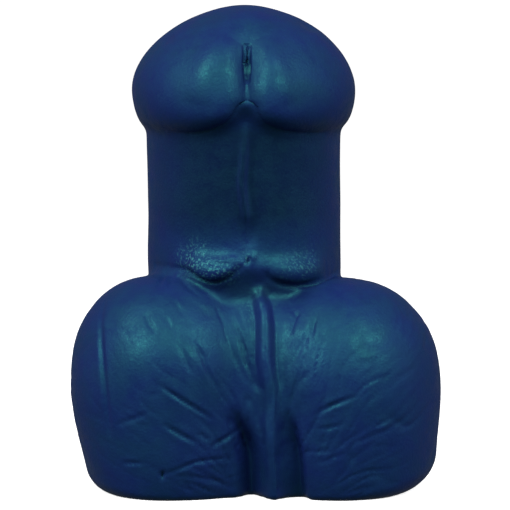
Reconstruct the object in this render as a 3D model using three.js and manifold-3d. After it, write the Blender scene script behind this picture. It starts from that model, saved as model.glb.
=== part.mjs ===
// A soft, one-piece silicone squeeze toy moulded as adult male anatomy: a two-lobed base on a flat foot,
// a short shaft that leans forward, and a flared head. It is one casting on the bench. It is divided here
// into base, shaft and head only where it flexes, along two ball-shaped cuts, so that each part can turn
// inside the next as the silicone bends. Millimetres, +Z up, the front is -Y, the foot rests on Z = 0.
import * as THREE from "three";
import { mergeVertices } from "three/addons/utils/BufferGeometryUtils.js";
import Module from "manifold-3d";

// Driving dimensions, in millimetres.
const OVERALL_HEIGHT = 96;
const BASE_WIDTH = 74; // across the two lobes
const LOBE_WIDTH = 42; // each lobe by itself, so the two of them overlap in the middle
const LOBE_DEPTH = 42; // front to back
const BASE_HEIGHT = 42.5; // foot to the top of the lobes
const BASE_WIDEST_AT = 20; // height of the widest part of the lobes
const FOOT_NARROWING = 3.2; // each side of the foot is this much inside the widest part
const FOOT_EDGE_RADIUS = 1.8;
const SHAFT_DIAMETER = 38.6;
const SHAFT_SHIFT_X = -2.2; // the shaft stands a little to one side of the lobes
const SHAFT_BEHIND_LOBES = 8; // the shaft's root stands out this far at the back of the lobes
const HEAD_WIDTH = 44.8;
const HEAD_DOME_HEIGHT = 16.4; // widest part of the head to its top
const HEAD_RIM_HEIGHT = 8.8; // under edge of the head to its widest part
const LEAN_FORWARD = 5; // how far the top stands ahead of the root

// The valley between the lobes, and the seam that stands up in it and runs on up the shaft.
const VALLEY_DEPTH = 4.5;
const SEAM_X_AT_FOOT = 6.2;
const SEAM_X_AT_TOP = 1.4;
const SEAM_RADIUS = 2.4;

// The slit in the head, and the notch under it where the head's two front lips part.
const SLIT_LENGTH = 12;
const SLIT_WIDTH = 1.2;
const SLIT_DEPTH = 2.4;
const NOTCH_WIDTH = 9;
const NOTCH_HEIGHT = 8;
const NOTCH_DEPTH = 5;

// The ball-shaped cuts. A ball is a little wider than the shaft, so it crosses the whole of it.
const BALL_OVER_SHAFT = 4.7; // ball radius less shaft radius
const BALL_GAP = 0.3;
const ROOT_BALL_ABOVE_BASE = 4.5; // centre of the root's ball, over the top of the lobes
const NECK_BALL_BELOW_HEAD = 4; // centre of the neck's ball, under the head's under edge

// How finely round shapes are divided.
const AROUND = 40;
const BALL_RINGS = 20;
const ARC_STEPS = 7;
const WALL_STEPS = 6;
const LOBE_ROUNDNESS = 3; // 2 is an ellipse, more is squarer
const DOME_ROUNDNESS = 1.85; // a little more pointed than an ellipse

const SILICONE = { color: 0x1d3f6e, roughness: 0.5, metalness: 0.15 };

const shaftRadius = SHAFT_DIAMETER / 2;
const headRadius = HEAD_WIDTH / 2;
const headWidestAt = OVERALL_HEIGHT - HEAD_DOME_HEIGHT;
const headUnderEdgeAt = headWidestAt - HEAD_RIM_HEIGHT;
const shaftRootY = LOBE_DEPTH / 2 + SHAFT_BEHIND_LOBES - shaftRadius;
const ballRadius = shaftRadius + BALL_OVER_SHAFT;

const wasm = await Module();
wasm.setup();

/** A closed three.js geometry as a manifold-3d solid. */
function solid(geometry) {
  const bare = geometry.clone();
  bare.deleteAttribute("normal");
  bare.deleteAttribute("uv");
  const merged = mergeVertices(bare, 1e-4);
  return new wasm.Manifold(
    new wasm.Mesh({
      numProp: 3,
      vertProperties: merged.getAttribute("position").array,
      triVerts: new Uint32Array(merged.index.array),
    }),
  );
}

/** A manifold-3d solid as a three.js geometry. */
function geometryOf(shape) {
  const mesh = shape.getMesh();
  const geometry = new THREE.BufferGeometry();
  geometry.setAttribute("position", new THREE.BufferAttribute(mesh.vertProperties, 3));
  geometry.setIndex(new THREE.BufferAttribute(mesh.triVerts, 1));
  geometry.computeVertexNormals();
  return geometry;
}

/** Centre line of the shaft and head, which leans further forward the higher it goes. */
function centreY(z) {
  const rise = Math.max(0, (z - BASE_HEIGHT) / (OVERALL_HEIGHT - BASE_HEIGHT));
  return shaftRootY - LEAN_FORWARD * rise * rise;
}

/** Points on a rounded quarter from (outer, z0) to (inner, z1), of the given roundness. */
function quarter(outer, z0, inner, z1, roundness) {
  const points = [];
  for (let step = 0; step <= ARC_STEPS; step++) {
    const angle = (step / ARC_STEPS) * (Math.PI / 2);
    const across = Math.cos(angle) ** (2 / roundness);
    const along = Math.sin(angle) ** (2 / roundness);
    points.push(new THREE.Vector2(inner + (outer - inner) * across, z0 + (z1 - z0) * along));
  }
  return points;
}

/** The profile turned about Z, with each ring then moved by place(x, y, z). */
function turned(profile, place) {
  const geometry = new THREE.LatheGeometry(profile, AROUND).rotateX(Math.PI / 2);
  const positions = geometry.getAttribute("position");
  const point = new THREE.Vector3();
  for (let i = 0; i < positions.count; i++) {
    point.fromBufferAttribute(positions, i);
    place(point);
    positions.setXYZ(i, point.x, point.y, point.z);
  }
  return solid(geometry);
}

/** The seam's X at a height on the base. */
function seamX(z) {
  return THREE.MathUtils.lerp(SEAM_X_AT_FOOT, SEAM_X_AT_TOP, z / BASE_HEIGHT);
}

/** A rounded mass on a flat foot, oval from above, of the given width and depth, with its middle at x. */
function mound(width, depth, x) {
  const radius = width / 2;
  const foot = radius - FOOT_NARROWING;
  const edge = quarter(foot, FOOT_EDGE_RADIUS, foot - FOOT_EDGE_RADIUS, 0, 2).reverse();
  const side = quarter(radius, BASE_WIDEST_AT, foot, FOOT_EDGE_RADIUS, 2).reverse();
  const top = quarter(radius, BASE_WIDEST_AT, 0, BASE_HEIGHT, LOBE_ROUNDNESS);
  const profile = [new THREE.Vector2(0, 0), ...edge, ...side.slice(1), ...top.slice(1)];
  return turned(profile, (point) => {
    point.x += x;
    point.y *= depth / width;
  });
}

/** The two lobes, and the lower mass between them whose front is the floor of the valley. */
function lobes() {
  const lobeX = (BASE_WIDTH - LOBE_WIDTH) / 2;
  const left = mound(LOBE_WIDTH, LOBE_DEPTH, -lobeX);
  const right = mound(LOBE_WIDTH, LOBE_DEPTH, lobeX);
  return left.add(right).add(mound(LOBE_WIDTH, LOBE_DEPTH - 2 * VALLEY_DEPTH, 0));
}

/** The shaft and head as one turned column, from the foot to the top, leaning forward. */
function column() {
  const rim = quarter(headRadius, headWidestAt, shaftRadius, headUnderEdgeAt, 2).reverse();
  const dome = quarter(headRadius, headWidestAt, 0, OVERALL_HEIGHT, DOME_ROUNDNESS);
  const footEdge = quarter(shaftRadius, FOOT_EDGE_RADIUS, shaftRadius - FOOT_EDGE_RADIUS, 0, 2).reverse();
  const wall = [];
  for (let step = 1; step < WALL_STEPS; step++) {
    wall.push(new THREE.Vector2(shaftRadius, (headUnderEdgeAt * step) / WALL_STEPS));
  }
  const profile = [new THREE.Vector2(0, 0), ...footEdge, ...wall, ...rim, ...dome.slice(1)];
  return turned(profile, (point) => {
    point.x += SHAFT_SHIFT_X;
    point.y += centreY(point.z);
  });
}

/** The seam on the front of the base, a round bead that stands half out of the valley, from foot to shaft. */
function seam() {
  const front = (VALLEY_DEPTH - LOBE_DEPTH) / 2;
  const path = new THREE.CatmullRomCurve3([
    new THREE.Vector3(seamX(0), front + 5, -SEAM_RADIUS),
    new THREE.Vector3(seamX(0), front + 2.5, 3),
    new THREE.Vector3(seamX(BASE_WIDEST_AT), front, BASE_WIDEST_AT),
    new THREE.Vector3(seamX(BASE_HEIGHT - 9), front + 3, BASE_HEIGHT - 9),
    new THREE.Vector3(seamX(BASE_HEIGHT), centreY(BASE_HEIGHT) - shaftRadius + 1, BASE_HEIGHT - 2),
  ]);
  const section = new THREE.Shape().absellipse(0, 0, SEAM_RADIUS, SEAM_RADIUS, 0, 2 * Math.PI);
  const bead = new THREE.ExtrudeGeometry(section, { extrudePath: path, steps: 16, curveSegments: 5 });
  return solid(bead).subtract(box(-BASE_WIDTH, 0));
}

/** A box wider than the object, from one height up to another. */
function box(fromZ, toZ) {
  const wide = 3 * Math.max(BASE_WIDTH, OVERALL_HEIGHT);
  const geometry = new THREE.BoxGeometry(wide, wide, toZ - fromZ);
  return solid(geometry.translate(0, 0, (fromZ + toZ) / 2));
}

/** An egg-shaped cutter, for the slit and the notch in the head. */
function egg(width, depth, height, x, y, z) {
  const geometry = new THREE.SphereGeometry(1, 16, 12).rotateX(Math.PI / 2);
  return solid(geometry.scale(width / 2, depth, height / 2).translate(x, y, z));
}

/** The slit on the front of the head. */
function slit() {
  const z = headWidestAt + SLIT_LENGTH / 3;
  const y = centreY(z) - headRadius + SLIT_DEPTH / 2;
  return egg(SLIT_WIDTH, SLIT_DEPTH, SLIT_LENGTH, SHAFT_SHIFT_X, y, z);
}

/** The notch under the slit. */
function notch() {
  const y = centreY(headUnderEdgeAt) - headRadius;
  return egg(NOTCH_WIDTH, NOTCH_DEPTH, NOTCH_HEIGHT, SHAFT_SHIFT_X, y, headUnderEdgeAt);
}

/** Everything inside a ball on the centre line at height z, and everything above its middle. */
function ballAndAbove(z, radius) {
  const ball = new THREE.SphereGeometry(radius, AROUND, BALL_RINGS).rotateX(Math.PI / 2);
  const placed = ball.translate(SHAFT_SHIFT_X, centreY(z), z);
  return solid(placed).add(box(z, 2 * OVERALL_HEIGHT));
}

/** One division of the casting as a named mesh. */
function silicone(name, shape) {
  const mesh = new THREE.Mesh(geometryOf(shape), new THREE.MeshStandardMaterial(SILICONE));
  mesh.name = name;
  return mesh;
}

const casting = lobes().add(column()).add(seam()).subtract(slit()).subtract(notch());
const rootBallZ = BASE_HEIGHT + ROOT_BALL_ABOVE_BASE;
const neckBallZ = headUnderEdgeAt - NECK_BALL_BELOW_HEAD;

const toy = new THREE.Group();
toy.add(
  silicone("lobed_base", casting.subtract(ballAndAbove(rootBallZ, ballRadius + BALL_GAP))),
  silicone(
    "shaft",
    casting
      .intersect(ballAndAbove(rootBallZ, ballRadius))
      .subtract(ballAndAbove(neckBallZ, ballRadius + BALL_GAP)),
  ),
  silicone("head", casting.intersect(ballAndAbove(neckBallZ, ballRadius))),
);

// The origin is the middle of the foot's plan, so a stranger can set the toy down by it.
const extent = new THREE.Box3().setFromObject(toy);
const middle = extent.getCenter(new THREE.Vector3());
toy.position.set(-middle.x, -middle.y, -extent.min.z);

export default toy;
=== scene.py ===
"""A soft, one-piece silicone squeeze toy, moulded as adult male anatomy, standing on its flat foot.

The toy is one seamless casting. It is modelled here as one skin, sculpted, and then parted once in the
middle of the shaft, between the toy's two places of bending.
"""

import logging
import math
from dataclasses import dataclass, field
from enum import Enum

import bmesh
import bpy
import numpy as np
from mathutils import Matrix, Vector, noise
from mathutils.bvhtree import BVHTree


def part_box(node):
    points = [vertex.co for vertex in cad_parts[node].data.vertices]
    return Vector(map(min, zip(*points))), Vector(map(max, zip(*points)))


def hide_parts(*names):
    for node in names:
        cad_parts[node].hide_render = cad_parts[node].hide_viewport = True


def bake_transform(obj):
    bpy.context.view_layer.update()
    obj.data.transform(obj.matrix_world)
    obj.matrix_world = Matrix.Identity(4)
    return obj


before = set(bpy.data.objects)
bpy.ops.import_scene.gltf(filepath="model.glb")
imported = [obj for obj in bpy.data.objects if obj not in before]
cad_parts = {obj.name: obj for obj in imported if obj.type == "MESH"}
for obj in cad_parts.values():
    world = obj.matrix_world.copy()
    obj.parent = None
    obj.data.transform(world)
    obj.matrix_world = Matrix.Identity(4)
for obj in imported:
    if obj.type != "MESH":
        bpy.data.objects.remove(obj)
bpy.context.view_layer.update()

MM = 0.001
log = logging.getLogger("squeeze_toy")

Point = tuple[float, float]


# ---------------------------------------------------------------------------------------------------------
# Small helpers
# ---------------------------------------------------------------------------------------------------------


def linear(hex_colour: str) -> tuple[float, float, float, float]:
    """Turn an sRGB hex colour into linear light.

    Args:
        hex_colour: Six hex digits, such as "1a2b3c".

    Returns:
        Red, green, blue and an alpha of 1.
    """
    channels = [int(hex_colour[i : i + 2], 16) / 255 for i in (0, 2, 4)]
    curve = [c / 12.92 if c <= 0.04045 else ((c + 0.055) / 1.055) ** 2.4 for c in channels]
    return (*curve, 1.0)


def add_node(tree: bpy.types.NodeTree, kind: str, settings: dict | None = None, **inputs) -> bpy.types.Node:
    """Add a shader node, with its settings and its inputs.

    Args:
        tree: The node tree to add to.
        kind: The node's type, without "ShaderNode".
        settings: Properties of the node itself.
        **inputs: A value or an output socket for each input, by its name with _ for a space.

    Returns:
        The new node.
    """
    made = tree.nodes.new("ShaderNode" + kind)
    for key, value in (settings or {}).items():
        setattr(made, key, value)
    for key, value in inputs.items():
        socket = made.inputs[int(key[1:])] if key[1:].isdigit() else made.inputs[key.replace("_", " ")]
        if isinstance(value, bpy.types.NodeSocket):
            tree.links.new(value, socket)
        else:
            socket.default_value = value
    return made


def smooth_path(points: np.ndarray, rounds: int = 2) -> np.ndarray:
    """Cut the corners off a path, so that it bends gently between its ends.

    Args:
        points: The path's points, one row each.
        rounds: How often the corners are cut.

    Returns:
        The smoother path, with the same two ends.
    """
    for _ in range(rounds if len(points) > 2 else 0):
        near = 0.75 * points[:-1] + 0.25 * points[1:]
        far = 0.25 * points[:-1] + 0.75 * points[1:]
        cut = np.stack([near, far], axis=1).reshape(-1, points.shape[1])
        points = np.vstack([points[:1], cut[1:-1], points[-1:]])
    return points


def quarter(outer: Point, inner: Point, roundness: float, steps: int = 12) -> list[Point]:
    """Points on a rounded quarter turn, from the outermost point to the innermost one.

    Args:
        outer: Radius and height where the curve runs straight up or down.
        inner: Radius and height where the curve runs straight in.
        roundness: 2 for an ellipse, more for a squarer shoulder.
        steps: How many stretches the curve has.

    Returns:
        The points, as radius and height.
    """
    points = []
    for step in range(steps + 1):
        angle = step / steps * math.pi / 2
        across = math.cos(angle) ** (2 / roundness)
        along = math.sin(angle) ** (2 / roundness)
        points.append((inner[0] + (outer[0] - inner[0]) * across, outer[1] + (inner[1] - outer[1]) * along))
    return points


# ---------------------------------------------------------------------------------------------------------
# Finishes
# ---------------------------------------------------------------------------------------------------------


@dataclass(frozen=True)
class PearlSilicone:
    """Platinum-cure silicone rubber, dark blue, with a green-blue pearl pigment, cast in a satin mould.

    The pearl gives broad, soft, green-blue highlights over a navy body. Shade is painted into the colour,
    nearly black, on the front of the shaft under the head and in the crease under the root. Pale specks
    stand both for mica powder that lay in the mould and for painted glints on the root's rolls. Real pearl
    flakes, mica specks and mould grain are under 0.1 mm, so theirs are drawn as coarse as they need to show.
    """

    body: str = "132059"
    body_green: str = "112752"
    painted_shade_body: str = "060b20"
    # colour of the painted shade under the head and under the root
    dust_and_glint: str = "3c7d84"
    # pale specks: partly mica powder, partly painted glints of highlight
    pearl: str = "59ecd4"
    ior: float = 1.41
    specular: float = 0.72
    roughness: float = 0.48
    flake_gloss: float = 0.1
    patch_gloss: float = 0.08
    cloud_mm: float = 7.0
    patch_mm: float = 2.2
    flake_mm: float = 0.35
    speck_mm: float = 0.5
    grain_mm: float = 0.6
    grain_depth_mm: float = 0.06

    def material(self) -> bpy.types.Material:
        """Make the material.

        Returns:
            The new material.
        """
        made = bpy.data.materials.new("pearl_silicone_satin_cast")
        made.use_nodes = True
        tree = made.node_tree
        tree.nodes.clear()
        place = add_node(tree, "TexCoord").outputs["Object"]
        shader = add_node(
            tree,
            "BsdfPrincipled",
            Base_Color=self.colour(tree, place),
            Roughness=self.satin(tree, place),
            IOR=self.ior,
            Specular_IOR_Level=self.specular,
            Specular_Tint=linear(self.pearl),
            Normal=self.grain(tree, place),
        )
        add_node(tree, "OutputMaterial", Surface=shader.outputs["BSDF"])
        return made

    def spread(
        self,
        tree: bpy.types.NodeTree,
        place: bpy.types.NodeSocket,
        size_mm: float,
        low: float,
        high: float,
        to_low: float = 0.0,
        to_high: float = 1.0,
    ) -> bpy.types.NodeSocket:
        """Noise of a real size, with a stretch of its range spread over another range.

        Args:
            tree: The material's node tree.
            place: Where the pattern is read.
            size_mm: The size of the pattern's patches.
            low: The noise value that becomes to_low.
            high: The noise value that becomes to_high.
            to_low: The lowest result.
            to_high: The highest result.

        Returns:
            The socket that gives the result.
        """
        noise_node = add_node(tree, "TexNoise", Vector=place, Scale=1 / (size_mm * MM), Detail=3.0)
        return add_node(
            tree,
            "MapRange",
            Value=noise_node.outputs["Fac"],
            From_Min=low,
            From_Max=high,
            To_Min=to_low,
            To_Max=to_high,
        ).outputs["Result"]

    def satin(self, tree: bpy.types.NodeTree, place: bpy.types.NodeSocket) -> bpy.types.NodeSocket:
        """The roughness, which flakes and patches of pearl vary.

        Args:
            tree: The material's node tree.
            place: Where the patterns are read.

        Returns:
            The socket that gives the roughness.
        """
        dull, bright = self.roughness + self.flake_gloss, self.roughness - self.flake_gloss
        flakes = self.spread(tree, place, self.flake_mm, 0.3, 0.7, bright, dull)
        patches = self.spread(tree, place, self.patch_mm, 0.35, 0.65, -self.patch_gloss, self.patch_gloss)
        return add_node(tree, "Math", {"operation": "ADD"}, _0=flakes, _1=patches).outputs[0]

    def colour(self, tree: bpy.types.NodeTree, place: bpy.types.NodeSocket) -> bpy.types.NodeSocket:
        """The body colour, with its clouds, its painted shade and its pale specks of mica and painted glint.

        Args:
            tree: The material's node tree.
            place: Where the patterns are read.

        Returns:
            The socket that gives the colour.
        """
        # painted shade: how far the colour is darkened by shade under the head and under the root
        painted_shade_mask = add_node(tree, "Attribute", {"attribute_name": Clay.PAINTED_SHADE}).outputs["Fac"]
        # specks of mica powder and painted glint, where the root's rolls catch the light
        dust_and_glint_marks = add_node(tree, "Attribute", {"attribute_name": Clay.DUST_AND_GLINT}).outputs["Fac"]
        specks = self.spread(tree, place, self.speck_mm, 0.52, 0.66)
        dust_and_glint_specks = add_node(tree, "Math", {"operation": "MULTIPLY"}, _0=specks, _1=dust_and_glint_marks).outputs[0]
        clouds = self.spread(tree, place, self.cloud_mm, 0.35, 0.7)
        layers = [(clouds, self.body_green), (painted_shade_mask, self.painted_shade_body), (dust_and_glint_specks, self.dust_and_glint)]
        below: bpy.types.NodeSocket | tuple = linear(self.body)
        for amount, above in layers:
            below = add_node(
                tree, "Mix", {"data_type": "RGBA"}, _0=amount, _6=below, _7=linear(above)
            ).outputs[2]
        return below

    def grain(self, tree: bpy.types.NodeTree, place: bpy.types.NodeSocket) -> bpy.types.NodeSocket:
        """The mould's fine satin grain, as a bump.

        Args:
            tree: The material's node tree.
            place: Where the pattern is read.

        Returns:
            The socket that gives the normal.
        """
        fine = add_node(tree, "TexNoise", Vector=place, Scale=1 / (self.grain_mm * MM), Detail=4.0)
        bump = add_node(
            tree, "Bump", Strength=1.0, Distance=self.grain_depth_mm * MM, Height=fine.outputs["Fac"]
        )
        return bump.outputs["Normal"]


@dataclass(frozen=True)
class StudioSheet:
    """A seamless sheet of matte white acrylic, lit from behind so that it stays pale everywhere."""

    colour: str = "f2f2f2"
    roughness: float = 0.9
    specular: float = 0.1
    lit_from_behind: float = 0.92

    def material(self) -> bpy.types.Material:
        """Make the material.

        Returns:
            The new material.
        """
        made = bpy.data.materials.new("studio_acrylic_matte_white")
        made.use_nodes = True
        shader = made.node_tree.nodes["Principled BSDF"]
        shader.inputs["Base Color"].default_value = linear(self.colour)
        shader.inputs["Roughness"].default_value = self.roughness
        shader.inputs["Specular IOR Level"].default_value = self.specular
        shader.inputs["Emission Color"].default_value = linear(self.colour)
        shader.inputs["Emission Strength"].default_value = self.lit_from_behind
        return made


# ---------------------------------------------------------------------------------------------------------
# The casting's plain form
# ---------------------------------------------------------------------------------------------------------


@dataclass(frozen=True)
class Lobe:
    """One rounded mass of the base, on its flat foot, in millimetres."""

    x: float
    height: float
    depth: float
    outer_pull: float
    top_roundness: float


@dataclass
class CastingForm:
    """The casting before its folds and creases: two lobes, the shaft behind them, and the flared head.

    Lengths are in millimetres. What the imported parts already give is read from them.
    """

    base_height: float = 42.3
    lobe_width: float = 40.0
    lobe_widest_at: float = 19.5
    lobe_lean_back: float = 0.12
    foot_narrowing: float = 2.2
    foot_edge: float = 1.0
    foot_edge_left: float = 5.2
    foot_edge_right: float = 7.5
    cut_off_below: float = 4.0
    valley_depth: float = 4.0
    shaft_radius: float = 19.5
    head_radius: float = 22.5
    head_widest_at: float = 79.4
    head_under_edge_at: float = 71.6
    rim_roundness: float = 1.8
    head_drop: float = 4.6
    under_edge_drop: float = 1.5
    lip_bulge: float = 0.5
    notch_rise: float = 5.2
    notch_half_width: float = 4.3
    notch_shift: float = 0.4
    dome_roundness: float = 1.83
    top_shift: float = 0.8
    lean: float = 5.0
    around: int = 96
    coarse_voxel: float = 0.8
    fine_voxel: float = 0.42
    valley_top: float = 37.0
    smoothing: float = 0.5
    fillet_rounds: int = 12
    light_rounds: int = 2
    height: float = field(init=False)
    half_width: float = field(init=False)
    front: float = field(init=False)
    back: float = field(init=False)
    shaft_x: float = field(init=False)

    def __post_init__(self) -> None:
        """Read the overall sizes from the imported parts."""
        low, high = (np.array(corner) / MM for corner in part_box("lobed_base"))
        head_low, head_high = (np.array(corner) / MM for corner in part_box("head"))
        self.height = head_high[2]
        self.half_width = high[0]
        self.front = low[1]
        self.back = high[1]
        self.shaft_x = (head_low[0] + head_high[0]) / 2

    def centre_y(self, z: float) -> float:
        """The shaft's centre line, from front to back, at a height."""
        rise = max(0.0, (z - self.base_height) / (self.height - self.base_height))
        return self.back - self.shaft_radius - self.lean * rise * rise

    def turned(self, profile: list[Point]) -> bmesh.types.BMesh:
        """Turn a profile about the vertical axis into a closed shape.

        Args:
            profile: Radius and height of each point, from the axis at the bottom to the axis at the top.

        Returns:
            The closed shape.
        """
        made = bmesh.new()
        ring = [made.verts.new((radius, 0.0, z)) for radius, z in profile]
        edges = [made.edges.new(pair) for pair in zip(ring, ring[1:])]
        bmesh.ops.spin(
            made,
            geom=ring + edges,
            cent=(0, 0, 0),
            axis=(0, 0, 1),
            angle=2 * math.pi,
            steps=self.around,
            use_merge=True,
        )
        bmesh.ops.remove_doubles(made, verts=made.verts, dist=1e-4)
        bmesh.ops.recalc_face_normals(made, faces=made.faces)
        return made

    def mound(self, lobe: Lobe) -> bmesh.types.BMesh:
        """One rounded mass on a flat foot, oval from above, its outer side pulled in towards the foot.

        Args:
            lobe: The mass's place and sizes.

        Returns:
            The closed mass, in its place.
        """
        radius = self.lobe_width / 2
        foot = radius - self.foot_narrowing
        side = quarter((radius, self.lobe_widest_at), (foot, 0.0), 1.7, 10)[::-1]
        top = quarter((radius, self.lobe_widest_at), (0.0, lobe.height), lobe.top_roundness, 16)
        bottom = -self.cut_off_below
        made = self.turned([(0.0, bottom), (foot, bottom), *side, *top[1:]])
        for vert in made.verts:
            low = min(1.0, max(0.0, 1 - vert.co.z / self.lobe_widest_at))
            outward = max(0.0, math.copysign(1, lobe.x) * vert.co.x / radius)
            vert.co.x -= math.copysign(lobe.outer_pull, lobe.x) * low**1.1 * outward**2
            high = max(0.0, (vert.co.z - self.lobe_widest_at) / (lobe.height - self.lobe_widest_at))
            vert.co.y *= 1 - self.lobe_lean_back * high**1.5
        bmesh.ops.scale(made, vec=(1, lobe.depth / self.lobe_width, 1), verts=made.verts)
        bmesh.ops.translate(made, vec=(lobe.x, self.front + radius, 0), verts=made.verts)
        return made

    def lobes(self) -> list[bmesh.types.BMesh]:
        """The two lobes, and the mass between them whose front is the floor of the valley.

        Returns:
            The three closed masses.
        """
        lobe_x = self.half_width - self.lobe_width / 2
        middle_depth = self.lobe_width - 2 * self.valley_depth
        return [
            self.mound(Lobe(-lobe_x, self.base_height + 0.3, self.lobe_width, 3.0, 2.4)),
            self.mound(Lobe(lobe_x, self.base_height - 0.5, self.lobe_width, 0.0, 2.3)),
            self.mound(Lobe(0.0, self.base_height - 0.8, middle_depth, 0.0, 2.4)),
        ]

    def column(self) -> bmesh.types.BMesh:
        """The shaft and the head as one turned column that leans forward, its front rim notched.

        Returns:
            The closed column.
        """
        radius, bottom = self.shaft_radius, -self.cut_off_below
        wall = [(radius, z) for z in np.linspace(bottom, self.head_under_edge_at, 32)[:-1]]
        widest = (self.head_radius, self.head_widest_at)
        rim = quarter(widest, (radius, self.head_under_edge_at), self.rim_roundness, 10)[::-1]
        dome = quarter(widest, (0.0, self.height), self.dome_roundness, 20)
        made = self.turned([(0.0, bottom), *wall, *rim, *dome[1:]])
        low = self.head_under_edge_at
        for vert in made.verts:
            x, y, z = vert.co
            share = min(1.0, max(0.0, (z - low) / (self.head_widest_at - low)))
            over = min(1.0, max(0.0, (z - self.head_widest_at) / (self.height - self.head_widest_at)))
            below = min(1.0, max(0.0, (low - z) / 10))
            to_front = max(0.0, -y / self.head_radius) ** 1.5
            from_notch = abs(x - self.notch_shift) / self.notch_half_width
            notch = math.exp(-from_notch) * (1 - 0.75 * share) * (1 - over) ** 2 * (1 - below)
            lip = self.lip_bulge * math.sin(math.pi * share) * (1 - math.exp(-from_notch))
            vert.co.y += self.centre_y(z) - lip * to_front
            drop = self.head_drop * share + self.under_edge_drop * (1 - share) * (1 - below)
            vert.co.x += self.shaft_x + self.top_shift * over**8
            vert.co.z += (self.notch_rise * notch - drop) * to_front
        return made

    def fused(self) -> bpy.types.Mesh:
        """Fuse the masses into one closed skin, with soft fillets where they meet.

        Returns:
            The skin as a mesh in millimetres, evenly divided.
        """
        whole = bmesh.new()
        for mass in [*self.lobes(), self.column()]:
            scrap = bpy.data.meshes.new("mass")
            mass.to_mesh(scrap)
            whole.from_mesh(scrap)
            mass.free()
            bpy.data.meshes.remove(scrap)
        mesh = bpy.data.meshes.new("casting")
        whole.to_mesh(mesh)
        whole.free()
        mesh = remeshed(mesh, self.coarse_voxel)
        smoothed = bmesh.new()
        smoothed.from_mesh(mesh)
        above = [vert for vert in smoothed.verts if vert.co.z > 1 - self.cut_off_below]
        low = [vert for vert in above if vert.co.z < self.valley_top]
        for verts in [above] * self.light_rounds + [low] * self.fillet_rounds:
            bmesh.ops.smooth_vert(
                smoothed,
                verts=verts,
                factor=self.smoothing,
                use_axis_x=True,
                use_axis_y=True,
                use_axis_z=True,
            )
        smoothed.to_mesh(mesh)
        smoothed.free()
        return remeshed(mesh, self.fine_voxel)


def remeshed(mesh: bpy.types.Mesh, voxel: float) -> bpy.types.Mesh:
    """Divide a closed mesh evenly again, fusing whatever overlaps in it.

    Args:
        mesh: The mesh, which is used up.
        voxel: The size of the new faces, in the mesh's own unit.

    Returns:
        The new mesh.
    """
    holder = bpy.data.objects.new("remesh", mesh)
    bpy.context.scene.collection.objects.link(holder)
    remesh = holder.modifiers.new("remesh", "REMESH")
    remesh.mode = "VOXEL"
    remesh.voxel_size = voxel
    remesh.adaptivity = 0.0
    graph = bpy.context.evaluated_depsgraph_get()
    made = bpy.data.meshes.new_from_object(holder.evaluated_get(graph))
    bpy.data.objects.remove(holder)
    bpy.data.meshes.remove(mesh)
    return made


# ---------------------------------------------------------------------------------------------------------
# Folds and creases
# ---------------------------------------------------------------------------------------------------------


class Ends(Enum):
    """How a stroke finishes at its two ends."""

    FADE = "fade"
    RISE = "rise"


@dataclass(frozen=True)
class Stroke:
    """One line drawn on the front of the casting with a round tool, in millimetres."""

    points: tuple[Point, ...]
    height: float
    width: float
    end_width: float | None = None
    squareness: float = 2.0
    ends: Ends = Ends.FADE
    rise: float = 0.5


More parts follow.
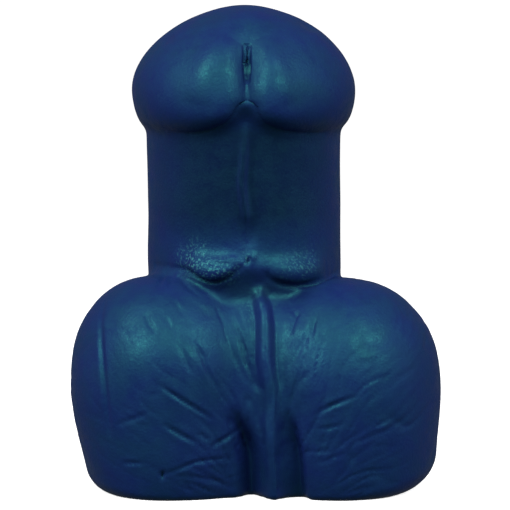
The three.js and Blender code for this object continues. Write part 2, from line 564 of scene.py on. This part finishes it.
@dataclass
class Clay:
    """A dense skin that is worked like clay: each stroke moves it in or out along its own normals."""

    # attribute names: painted shade, and specks of mica and painted glint
    PAINTED_SHADE = "painted_shade"
    DUST_AND_GLINT = "mica_dust_and_painted_glint"

    mesh: bpy.types.Mesh
    places: np.ndarray = field(init=False)
    normals: np.ndarray = field(init=False)
    tree: BVHTree = field(init=False)

    def __post_init__(self) -> None:
        """Read the skin as it stands."""
        self.refresh()

    def refresh(self) -> None:
        """Read the skin's points and normals, and make it ready to be drawn on."""
        count = len(self.mesh.vertices)
        self.places = np.empty(count * 3)
        self.mesh.vertices.foreach_get("co", self.places)
        self.places = self.places.reshape(-1, 3)
        self.normals = np.empty(count * 3)
        self.mesh.vertex_normals.foreach_get("vector", self.normals)
        self.normals = self.normals.reshape(-1, 3)
        shape = bmesh.new()
        shape.from_mesh(self.mesh)
        self.tree = BVHTree.FromBMesh(shape)
        shape.free()

    def commit(self, offset: np.ndarray) -> None:
        """Move every point along its normal.

        Args:
            offset: How far each point moves outwards.
        """
        self.places += self.normals * offset[:, None]
        self.mesh.vertices.foreach_set("co", self.places.ravel())
        self.mesh.update()
        self.refresh()

    def round_foot(self, radius: float, left: float, right: float) -> None:
        """Turn the skin in towards the flat of the foot, more at its two sides.

        Args:
            radius: How large the rounding is in front and behind.
            left: How large it is at the left side.
            right: How large it is at the right side.
        """
        x, _, z = self.places.T
        size = radius + (np.where(x < 0, left, right) - radius) * (np.abs(x) / np.abs(x).max()) ** 4
        depth = np.clip(1 - z / size, 0.0, 1.0)
        self.normals[:, 2] *= depth == 0
        self.commit(-size * (1 - np.sqrt(1 - depth**2)))

    def on_front(self, points: tuple[Point, ...]) -> np.ndarray:
        """Find where points seen from the front lie on the skin.

        Args:
            points: Each point's place from side to side, and its height.

        Returns:
            The points in space. One that misses the skin is left out.
        """
        found = []
        for x, z in points:
            hit = self.tree.ray_cast(Vector((x, -100.0, z)), Vector((0, 1, 0)))[0]
            if hit is not None:
                found.append(tuple(hit))
        return np.array(found)

    def stroke_offset(self, stroke: Stroke) -> np.ndarray:
        """How far one stroke moves each point of the skin.

        Args:
            stroke: The stroke.

        Returns:
            The move of each point along its normal, outwards.
        """
        offset = np.zeros(len(self.places))
        path = smooth_path(self.on_front(stroke.points))
        if len(path) < 2:
            log.warning("a stroke at %s misses the skin", stroke.points[0])
            return offset
        end_width = stroke.width if stroke.end_width is None else stroke.end_width
        reach = 3 * max(stroke.width, end_width)
        low, high = path.min(axis=0) - reach, path.max(axis=0) + reach
        near = np.flatnonzero(np.all((self.places > low) & (self.places < high), axis=1))
        if not len(near):
            return offset
        lengths = np.linalg.norm(np.diff(path, axis=0), axis=1)
        starts = np.concatenate([[0.0], np.cumsum(lengths)])
        best = np.full(len(near), np.inf)
        along = np.zeros(len(near))
        for start, end, length, before in zip(path, path[1:], lengths, starts):
            step = (end - start) / max(length, 1e-9)
            share = np.clip((self.places[near] - start) @ step, 0, length)
            distance = np.linalg.norm(self.places[near] - start - share[:, None] * step, axis=1)
            closer = distance < best
            best[closer] = distance[closer]
            along[closer] = before + share[closer]
        along /= starts[-1]
        width = stroke.width + (end_width - stroke.width) * along
        amount = stroke.height * np.exp(-((best / width) ** stroke.squareness))
        if stroke.ends is Ends.FADE:
            amount *= np.sin(np.pi * np.clip(along, 0.0, 1.0)) ** 0.8
        elif stroke.ends is Ends.RISE:
            amount *= np.sin(np.pi / 2 * np.clip(along / stroke.rise, 0.0, 1.0)) ** 2
        offset[near] = amount
        return offset

    def refine(self, middle: tuple[float, float, float], radius: float) -> None:
        """Divide the skin's faces once more near a place, for details finer than its faces.

        Args:
            middle: The place.
            radius: How far from it the faces are divided.
        """
        shape = bmesh.new()
        shape.from_mesh(self.mesh)
        near = {vert for vert in shape.verts if (vert.co - Vector(middle)).length < radius}
        edges = [edge for edge in shape.edges if edge.verts[0] in near and edge.verts[1] in near]
        bmesh.ops.subdivide_edges(shape, edges=edges, cuts=1, use_grid_fill=True)
        bmesh.ops.triangulate(shape, faces=[face for face in shape.faces if len(face.verts) > 4])
        shape.to_mesh(self.mesh)
        shape.free()
        self.refresh()

    def paint(self, name: str, amount: np.ndarray) -> None:
        """Keep an amount for each point of the skin, for the material to read.

        Args:
            name: The attribute's name.
            amount: The amount at each point, from 0 to 1.
        """
        kept = self.mesh.attributes.new(name, "FLOAT", "POINT")
        kept.data.foreach_set("value", np.clip(amount, 0.0, 1.0))

    def draw(self, strokes: list[Stroke]) -> None:
        """Draw strokes together, all on the skin as it was before the first of them.

        Args:
            strokes: The strokes.
        """
        total = np.zeros(len(self.places))
        for stroke in strokes:
            total += self.stroke_offset(stroke)
        self.commit(total)


def crease(points: tuple[Point, ...], depth: float = 0.4, width: float = 0.6) -> list[Stroke]:
    """A pressed line with a soft swelling to both sides of it.

    Args:
        points: The line, as seen from the front.
        depth: How deep the line is.
        width: Half the line's width.

    Returns:
        The strokes that make it.
    """
    swell = Stroke(points, 0.35 * depth, 2.3 * width)
    press = Stroke(points, -1.2 * depth, 0.8 * width)
    return [swell, press]


@dataclass(frozen=True)
class SkinLines:
    """One set of fine lines: how many to a radian, how long and deep they are in mm, and how narrow."""

    per_radian: float
    length: float
    depth: float
    narrowness: float


@dataclass
class Relief:
    """Everything that is sculpted on the casting, piece by piece, in millimetres seen from the front.

    The fine lines fan out from one place, with none nearer to it than fan_bare. They grow fainter towards
    the fan's sides and towards the lobes' tops. Shade is painted into the colour of the shaft's front
    between two heights, under the head.
    """

    clay: Clay
    lump_depth: float = 0.3
    lump_size: float = 11.0
    lines_below: float = 44.0
    fan_x: float = 3.5
    fan_z: float = -4.0
    fan_bare: float = 7.0
    fan_fade: float = 8.0
    fan_half_width: float = 32.0
    top_fade_from: float = 34.0
    top_fade: float = 6.0
    wander: float = 0.14
    wander_size: float = 13.0
    patch_size: float = 9.0
    faintest: float = 0.15
    shade_from: float = 49.0
    shade_to: float = 73.5
    shade_amount: float = 0.6
    lines: tuple[SkinLines, ...] = (SkinLines(9.0, 16.0, 0.34, 7.0), SkinLines(21.0, 9.0, 0.13, 4.0))

    def raphe(self) -> None:
        """The seam that stands in the valley between the lobes, with a hollow down each side of it."""
        line = (
            (0.2, 41.5), (1.8, 35.6), (1.9, 29.5), (2.0, 26.4), (2.5, 23.4), (3.2, 20.3),
            (3.5, 17.2), (3.1, 14.2), (3.3, 11.1), (3.4, 8.0), (3.8, 5.0), (4.0, -1.5),
        )
        fold = ((-2.9, 31.0), (-1.4, 26.0), (0.6, 21.0))
        left_hollow = ((-4.8, 19.0), (-3.2, 15.0), (-1.7, 11.1), (-0.9, 6.5), (-0.8, -1.5))
        right_hollow = ((6.2, 18.5), (6.8, 13.0), (7.3, 9.0), (7.7, 5.0), (8.0, -1.5))
        self.clay.draw(
            [
                Stroke(line, 1.9, 1.35, 2.3, 2.6, Ends.RISE, 0.06),
                Stroke(line[5:], 1.0, 1.8, 2.3, 5.0, Ends.RISE),
                Stroke(tuple((x - 1.8, z) for x, z in line[:6]), -0.8, 0.6),
                Stroke(tuple((x + 1.7, z) for x, z in line[:7]), -0.35, 0.8),
                Stroke(fold, -0.7, 0.45),
                Stroke(left_hollow, -3.8, 1.3, 1.8, 2.0, Ends.RISE),
                Stroke(right_hollow, -2.6, 1.2, 1.8, 2.0, Ends.RISE),
            ]
        )
        self.clay.draw([Stroke(((1.0, 16.5), (1.6, 13.0), (1.4, 9.0)), -0.3, 0.35)])

    def root(self) -> None:
        """The crease where the lobes fold up against the shaft, and the rolls of the shaft above it."""
        left = ((-20.3, 44.2), (-13.4, 44.2), (-9.3, 42.0), (-6.8, 41.9), (-3.4, 44.0), (-2.6, 45.2))
        right = ((1.6, 44.0), (3.0, 41.9), (7.6, 40.7), (13.8, 41.3), (16.5, 42.8))
        across = ((-17.0, 45.6), (-9.0, 44.2), (-2.0, 45.0), (6.0, 43.6), (15.0, 44.6))
        self.clay.draw([Stroke(across, 1.1, 2.4)])
        self.clay.draw(
            [
                Stroke(tuple((x, z + 1.6) for x, z in left[1:5]), 1.7, 2.4),
                Stroke(tuple((x, z + 2.2) for x, z in right[1:4]), 1.2, 2.6),
                Stroke(left, -1.3, 0.5),
                Stroke(right, -0.9, 0.6),
            ]
        )
        self.clay.draw(
            crease(((-9.5, 45.6), (-6.5, 45.0), (-4.4, 45.6)), 0.6, 0.6)
            + [
                Stroke(((-4.8, 47.0), (-2.6, 44.9)), 0.5, 0.7),
                Stroke(((-2.0, 47.0), (0.6, 46.4)), 0.4, 0.9),
                Stroke(((-1.8, 46.0), (-1.0, 45.8)), -0.9, 0.6),
            ]
        )

    def shaft_ridge(self) -> None:
        """The faint ridge up the front of the shaft, with a shallow groove beside it."""
        line = ((-1.9, 73.0), (-2.3, 64.5), (-2.7, 61.0), (-2.2, 56.8), (-1.7, 53.8), (-1.5, 49.0))
        beside = tuple((x + 1.6, z) for x, z in line)
        self.clay.draw([Stroke(line, 1.0, 0.65), Stroke(beside, -0.4, 0.8)])
        self.clay.draw([Stroke(((-1.4, 54.5), (-1.2, 48.5)), -0.6, 1.6)])

    def head(self) -> None:
        """The slit with its two inner lips, the soft crests beside it, and the notch below it."""
        x = -1.6
        left_edge = ((-17.0, 70.6), (-12.0, 70.2), (-7.8, 71.2), (-4.9, 72.8), (-2.2, 75.2))
        right_edge = ((-1.4, 75.2), (1.2, 72.9), (3.0, 71.6), (6.5, 70.6), (12.5, 70.2), (15.0, 70.6))
        self.clay.draw(
            [
                Stroke(((x - 3.2, 89.5), (x - 7.4, 84.5), (x - 9.0, 79.5), (x - 10.0, 76.5)), 0.6, 3.2),
                Stroke(((x + 2.8, 89.5), (x + 5.2, 84.5), (x + 7.0, 79.5), (x + 8.4, 76.5)), 0.5, 2.6),
                Stroke(((x, 93.5), (x, 84.0), (x + 0.2, 76.0)), -1.6, 2.6, 3.0, 2.0, Ends.RISE),
                Stroke(((x, 88.0), (x, 81.0), (x + 0.2, 75.6)), -1.6, 0.8, 1.0, 1.1, Ends.RISE, 0.4),
                Stroke(((8.5, 93.0), (12.5, 90.5)), -0.5, 2.5),
                Stroke(((-18.5, 88.0), (-16.0, 90.0)), -0.3, 2.0),
                Stroke(tuple((px, pz + 0.4) for px, pz in left_edge), -0.4, 0.45),
                Stroke(tuple((px, pz + 0.4) for px, pz in right_edge), -0.4, 0.45),
            ]
        )
        middle = (x, float(self.clay.on_front(((x, 84.5),))[0][1]), 84.5)
        self.clay.refine(middle, 6.0)
        self.clay.refine(middle, 4.8)
        self.clay.draw([Stroke(((x, 88.2), (x, 84.5), (x + 0.1, 80.3)), -1.2, 0.8, 0.6, 3.0)])
        self.clay.draw(
            [
                Stroke(((x - 0.3, 87.6), (x - 0.32, 84.5), (x - 0.2, 81.2)), 0.7, 0.3),
                Stroke(((x + 0.5, 87.2), (x + 0.45, 84.7), (x + 0.3, 82.2)), 0.6, 0.26),
                Stroke(((x + 0.12, 87.6), (x + 0.1, 84.5), (x + 0.06, 80.8)), -0.7, 0.2),
            ]
        )

    def left_lobe(self) -> None:
        """The creases of the left lobe."""
        lines = [
            crease(((-29.3, 38.2), (-29.9, 31.4), (-29.4, 26.4), (-28.6, 20.0), (-28.0, 12.0)), 0.5, 0.8),
            crease(((-21.1, 36.2), (-20.5, 34.1), (-18.9, 32.2)), 0.3, 0.6),
            crease(((-17.1, 35.6), (-16.2, 33.1)), 0.25, 0.5),
            crease(((-15.9, 38.7), (-14.0, 35.6)), 0.25, 0.5),
            crease(((-15.3, 42.6), (-12.8, 40.2), (-10.7, 38.7)), 0.3, 0.6),
            crease(((-17.8, 43.2), (-18.9, 40.6)), 0.3, 0.5),
            crease(((-16.2, 43.0), (-16.8, 40.5)), 0.25, 0.5),
            crease(((-14.3, 29.9), (-12.2, 24.9)), 0.3, 0.6),
            crease(((-11.7, 30.6), (-10.3, 28.5), (-8.6, 23.9), (-6.7, 21.2)), 0.4, 0.6),
            crease(((-4.9, 35.3), (-2.7, 31.0), (-1.1, 27.0)), 0.5, 0.5),
            crease(((-3.4, 36.8), (-1.6, 31.5), (-0.5, 28.0)), 0.3, 0.4),
            crease(((-6.4, 33.5), (-4.0, 28.0), (-1.6, 22.5)), 0.3, 0.45),
            crease(((-7.6, 37.0), (-5.6, 32.5)), 0.25, 0.5),
            crease(((-18.9, 23.3), (-16.4, 21.5), (-12.8, 19.1), (-9.8, 17.2), (-7.9, 15.7)), 0.5, 0.5),
            crease(((-17.8, 15.4), (-14.0, 13.0), (-11.3, 11.5)), 0.5, 0.5),
            crease(((-11.0, 13.6), (-8.8, 11.7)), 0.3, 0.5),
            crease(((-8.6, 10.5), (-5.2, 12.3), (-3.3, 13.6)), 0.4, 0.6),
            crease(((-25.6, 7.4), (-21.4, 7.6)), 0.35, 0.5),
            crease(((-27.0, 14.7), (-22.9, 16.3), (-20.1, 17.6)), 0.2, 0.6),
            crease(((-18.9, 5.3), (-15.9, 5.9), (-11.9, 7.7), (-9.8, 8.0), (-3.6, 8.0)), 0.35, 0.5),
            crease(((-15.9, 5.3), (-9.8, 4.7), (-3.6, 1.9)), 0.3, 0.6),
            crease(((-5.2, 4.0), (-2.1, 5.3)), 0.3, 0.5),
            [Stroke(((-18.2, 5.3), (-17.4, 5.3)), -0.9, 0.7)],
        ]
        self.clay.draw(sum(lines, []))

    def right_lobe(self) -> None:
        """The creases of the right lobe."""
        lines = [
            crease(((11.5, 34.7), (10.9, 31.0)), 0.3, 0.5),
            crease(((12.6, 37.1), (10.9, 33.1), (7.8, 27.6), (6.3, 25.3)), 0.25, 0.9),
            crease(((8.6, 36.2), (6.7, 31.4)), 0.25, 0.6),
            crease(((10.9, 25.3), (8.4, 23.4), (7.3, 20.3), (7.1, 17.0)), 0.25, 0.9),
            crease(((11.8, 16.9), (13.3, 18.2), (15.7, 19.3), (19.4, 20.7)), 0.5, 0.5),
            crease(((11.8, 14.2), (14.5, 14.5), (17.0, 15.4)), 0.25, 0.5),
            crease(((9.4, 9.6), (14.5, 10.1)), 0.25, 0.5),
            crease(((17.6, 11.1), (22.2, 12.6), (26.8, 14.5), (30.0, 17.2)), 0.2, 0.6),
            crease(((23.1, 14.7), (25.6, 15.7)), 0.2, 0.5),
            crease(((12.0, 7.4), (17.0, 9.6)), 0.2, 0.5),
        ]
        self.clay.draw(sum(lines, []))

    def flow(self) -> None:
        """The fine skin lines of the lobes, which fan out from low in the valley, and a little unevenness."""
        amount = np.zeros(len(self.clay.places))
        for number, (place, normal) in enumerate(zip(self.clay.places, self.clay.normals)):
            x, y, z = place
            lump = noise.noise(Vector((x / self.lump_size, y / self.lump_size, z / self.lump_size)))
            amount[number] = self.lump_depth * lump
            if z > self.lines_below or normal[2] < -0.6:
                continue
            size = self.wander_size
            wander = self.wander * noise.noise(Vector((x / size, y / size, z / size + 5)))
            angle = math.atan2(z - self.fan_z, x - self.fan_x) + wander
            reach = math.hypot(x - self.fan_x, z - self.fan_z)
            up = (self.top_fade_from + self.top_fade - z) / self.top_fade
            fade = min(1.0, max(0.0, (reach - self.fan_bare) / self.fan_fade))
            fade *= min(1.0, max(self.faintest, up))
            size = self.patch_size
            patch = 0.5 + 0.9 * noise.noise(Vector((x / size, y / size, z / size - 7)))
            aside = 1.35 - abs(x - self.fan_x) / self.fan_half_width
            fade *= min(1.0, max(self.faintest, patch)) * min(1.0, max(2 * self.faintest, aside))
            for fine in self.lines:
                across, along = angle * fine.per_radian, reach / fine.length
                wave = noise.noise(Vector((across, along, normal[1] * 0.8 + fine.per_radian)))
                amount[number] -= fine.depth * fade * max(0.0, 1 - abs(wave) * fine.narrowness) ** 1.5
        self.clay.commit(amount)

    def colours(self) -> None:
        """Paint shade into the colour under the head and under the root, and mark the specks of mica and
        painted glint.
        """
        x, y, z = self.clay.places.T
        # painted shade on the front of the shaft under the head, and in the crease under the root's rolls
        facing = np.clip(-self.clay.normals[:, 1] * 1.6 - 0.5, 0, 1)
        up = np.clip((z - self.shade_from) / 6, 0, 1) * np.clip((self.shade_to - z) / 3, 0, 1)
        under_root = Stroke(((-12.0, 41.5), (-5.0, 40.0), (2.0, 40.5), (9.0, 39.5), (13.5, 40.5)), 0.5, 2.6)
        self.clay.paint(Clay.PAINTED_SHADE, self.shade_amount * facing * up + self.clay.stroke_offset(under_root))
        # specks of mica powder and painted glint on the tops of the root's rolls and the seam's top
        dust_and_glint_marks = [
            Stroke(((-16.0, 46.6), (-10.0, 44.8), (-6.0, 43.6), (-2.8, 45.2)), 1.0, 2.2),
            Stroke(((-13.5, 48.6), (-9.0, 47.4)), 0.6, 1.8),
            Stroke(((-3.4, 46.5), (-0.5, 46.2)), 0.7, 1.2),
            Stroke(((4.0, 45.5), (8.0, 44.6), (13.0, 45.6)), 0.5, 2.6),
            Stroke(((-2.0, 38.5), (-0.5, 33.0)), 0.3, 1.2),
        ]
        self.clay.paint(Clay.DUST_AND_GLINT, sum(self.clay.stroke_offset(stroke) for stroke in dust_and_glint_marks))

    def all(self) -> None:
        """Sculpt everything, the large shapes first."""
        self.root()
        self.raphe()
        self.shaft_ridge()
        self.left_lobe()
        self.right_lobe()
        self.flow()
        self.head()
        self.colours()


# ---------------------------------------------------------------------------------------------------------
# The toy
# ---------------------------------------------------------------------------------------------------------


@dataclass
class SqueezeToy:
    """The whole casting: one skin, parted once between the two places where it bends."""

    finish: PearlSilicone = field(default_factory=PearlSilicone)
    form: CastingForm = field(default_factory=CastingForm)
    root_bend: tuple[float, float] = (34.0, 56.5)
    neck_bend: tuple[float, float] = (57.5, 76.0)
    part_at: float = 57.0

    def casting(self) -> bpy.types.Mesh:
        """Make the whole sculpted skin.

        Returns:
            The skin as a mesh, in millimetres.
        """
        mesh = self.form.fused()
        log.info("fused form: %d points", len(mesh.vertices))
        clay = Clay(mesh)
        Relief(clay).all()
        clay.round_foot(self.form.foot_edge, self.form.foot_edge_left, self.form.foot_edge_right)
        return mesh

    def part(self, mesh: bpy.types.Mesh, name: str, keep_above: bool) -> bpy.types.Object:
        """Cut one part from the casting and close it.

        Args:
            mesh: The whole casting, in millimetres.
            name: The new piece's name.
            keep_above: Whether the part above the cut is kept.

        Returns:
            The piece, in metres.
        """
        shape = bmesh.new()
        shape.from_mesh(mesh)
        for height, from_below in ((self.part_at, keep_above), (0.0, True)):
            bmesh.ops.bisect_plane(
                shape,
                geom=shape.verts[:] + shape.edges[:] + shape.faces[:],
                dist=1e-5,
                plane_co=(0, 0, height),
                plane_no=(0, 0, 1),
                clear_inner=from_below,
                clear_outer=not from_below,
            )
        rim = [edge for edge in shape.edges if edge.is_boundary]
        cap = bmesh.ops.holes_fill(shape, edges=rim)["faces"]
        for edge in rim:
            edge.smooth = False
        for face in shape.faces:
            face.smooth = True
        for face in cap:
            face.smooth = False
        bmesh.ops.triangulate(shape, faces=cap)
        bmesh.ops.scale(shape, vec=(MM, MM, MM), verts=shape.verts)
        made = bpy.data.meshes.new(name)
        shape.to_mesh(made)
        shape.free()
        piece = bpy.data.objects.new(name, made)
        bpy.context.scene.collection.objects.link(piece)
        log.info("%s: %d faces", name, len(made.polygons))
        return piece

    def build(self) -> None:
        """Make the two pieces, dress them, and hide the imported parts they stand for."""
        mesh = self.casting()
        skin = self.finish.material()
        x, y = self.form.shaft_x * MM, self.form.centre_y(self.part_at) * MM
        plan = [
            ("skin_lower", False, ("base", "shaft"), self.root_bend, ("lobed_base", "shaft")),
            ("skin_upper", True, ("shaft", "head"), self.neck_bend, ("head",)),
        ]
        for name, above, bodies, (start, end), nodes in plan:
            piece = self.part(mesh, name, above)
            piece.data.materials.append(skin)
            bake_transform(piece)
            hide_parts(*nodes)
        bpy.data.meshes.remove(mesh)


# ---------------------------------------------------------------------------------------------------------
# The studio
# ---------------------------------------------------------------------------------------------------------


@dataclass(frozen=True)
class Softbox:
    """A studio light, placed by its bearing from what it is aimed at.

    One that isn't mirrored lights the skin without showing in its gloss.
    """

    name: str
    azimuth: float
    elevation: float
    distance: float
    width: float
    height: float
    watts: float
    aim: tuple[float, float, float] = (0.0, 0.0, 0.046)
    mirrored: bool = True


@dataclass
class Studio:
    """The seamless sheet, the softboxes and the camera."""

    target_z: float = 0.046
    camera_distance: float = 0.5
    camera_elevation: float = 4.0
    lens: float = 175.8
    sensor: float = 36.0
    sheet_half_width: float = 2.5
    sheet_top: float = 2.5
    bend_from: float = 1.2
    bend_radius: float = 0.5
    bend_steps: int = 12
    room_light: float = 0.12
    sheet: StudioSheet = field(default_factory=StudioSheet)
    lights: tuple[Softbox, ...] = (
        Softbox("left_key", -42.0, 44.0, 0.8, 0.5, 0.45, 5.1),
        Softbox("right_key", 36.0, 44.0, 0.8, 0.5, 0.45, 4.2),
        Softbox("left_softbox", -80.0, 15.0, 0.9, 0.5, 0.5, 2.6, mirrored=False),
        Softbox("right_softbox", 80.0, 15.0, 0.9, 0.5, 0.5, 2.6, mirrored=False),
    )

    def camera(self) -> None:
        """Place the camera in front, a little above the toy's middle."""
        data = bpy.data.cameras.new("camera")
        data.lens = self.lens
        data.sensor_width = self.sensor
        made = bpy.data.objects.new("camera", data)
        bpy.context.scene.collection.objects.link(made)
        angle = math.radians(self.camera_elevation)
        made.location = (
            0.0,
            -self.camera_distance * math.cos(angle),
            self.target_z + self.camera_distance * math.sin(angle),
        )
        made.rotation_euler = (math.pi / 2 - angle, 0, 0)
        bpy.context.scene.camera = made

    def softbox(self, light: Softbox) -> None:
        """Hang one softbox, facing what it is aimed at.

        Args:
            light: The softbox's place, size and power.
        """
        data = bpy.data.lights.new(light.name, "AREA")
        data.shape = "RECTANGLE"
        data.size = light.width
        data.size_y = light.height
        data.energy = light.watts
        made = bpy.data.objects.new(light.name, data)
        made.visible_glossy = light.mirrored
        bpy.context.scene.collection.objects.link(made)
        azimuth, elevation = math.radians(light.azimuth), math.radians(light.elevation)
        bearing = Vector(
            (
                math.sin(azimuth) * math.cos(elevation),
                -math.cos(azimuth) * math.cos(elevation),
                math.sin(elevation),
            )
        )
        made.location = Vector(light.aim) + bearing * light.distance
        made.rotation_euler = bearing.to_track_quat("Z", "Y").to_euler()

    def sweep(self) -> None:
        """Lay the sheet: a floor that curves up into a wall behind the toy."""
        shape = bmesh.new()
        half, bend = self.sheet_half_width, self.bend_radius
        profile = [(-half, 0.0)]
        for step in range(self.bend_steps + 1):
            angle = step / self.bend_steps * math.pi / 2
            profile.append((self.bend_from + bend * math.sin(angle), bend - bend * math.cos(angle)))
        profile.append((self.bend_from + bend, self.sheet_top))
        row = [shape.verts.new((-half, y, z)) for y, z in profile]
        edges = [shape.edges.new(pair) for pair in zip(row, row[1:])]
        wide = bmesh.ops.extrude_edge_only(shape, edges=edges)["geom"]
        moved = [item for item in wide if isinstance(item, bmesh.types.BMVert)]
        bmesh.ops.translate(shape, vec=(2 * half, 0, 0), verts=moved)
        bmesh.ops.recalc_face_normals(shape, faces=shape.faces)
        for face in shape.faces:
            face.smooth = True
        mesh = bpy.data.meshes.new("acrylic_sweep")
        shape.to_mesh(mesh)
        shape.free()
        mesh.materials.append(self.sheet.material())
        made = bpy.data.objects.new("acrylic_sweep", mesh)
        bpy.context.scene.collection.objects.link(made)
        made.visible_glossy = False
        made.visible_diffuse = False

    def build(self) -> None:
        """Set up the camera, the sheet, the lights and the room's own dim light."""
        scene = bpy.context.scene
        self.camera()
        self.sweep()
        for light in self.lights:
            self.softbox(light)
        world = bpy.data.worlds.new("studio")
        world.use_nodes = True
        world.node_tree.nodes["Background"].inputs["Color"].default_value = (1, 1, 1, 1)
        world.node_tree.nodes["Background"].inputs["Strength"].default_value = self.room_light
        scene.world = world
        scene.view_settings.view_transform = "Standard"


def main() -> None:
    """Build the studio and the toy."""
    logging.basicConfig(level=logging.INFO, format="%(name)s: %(message)s")
    Studio().build()
    SqueezeToy().build()


if __name__ == "__main__":
    main()
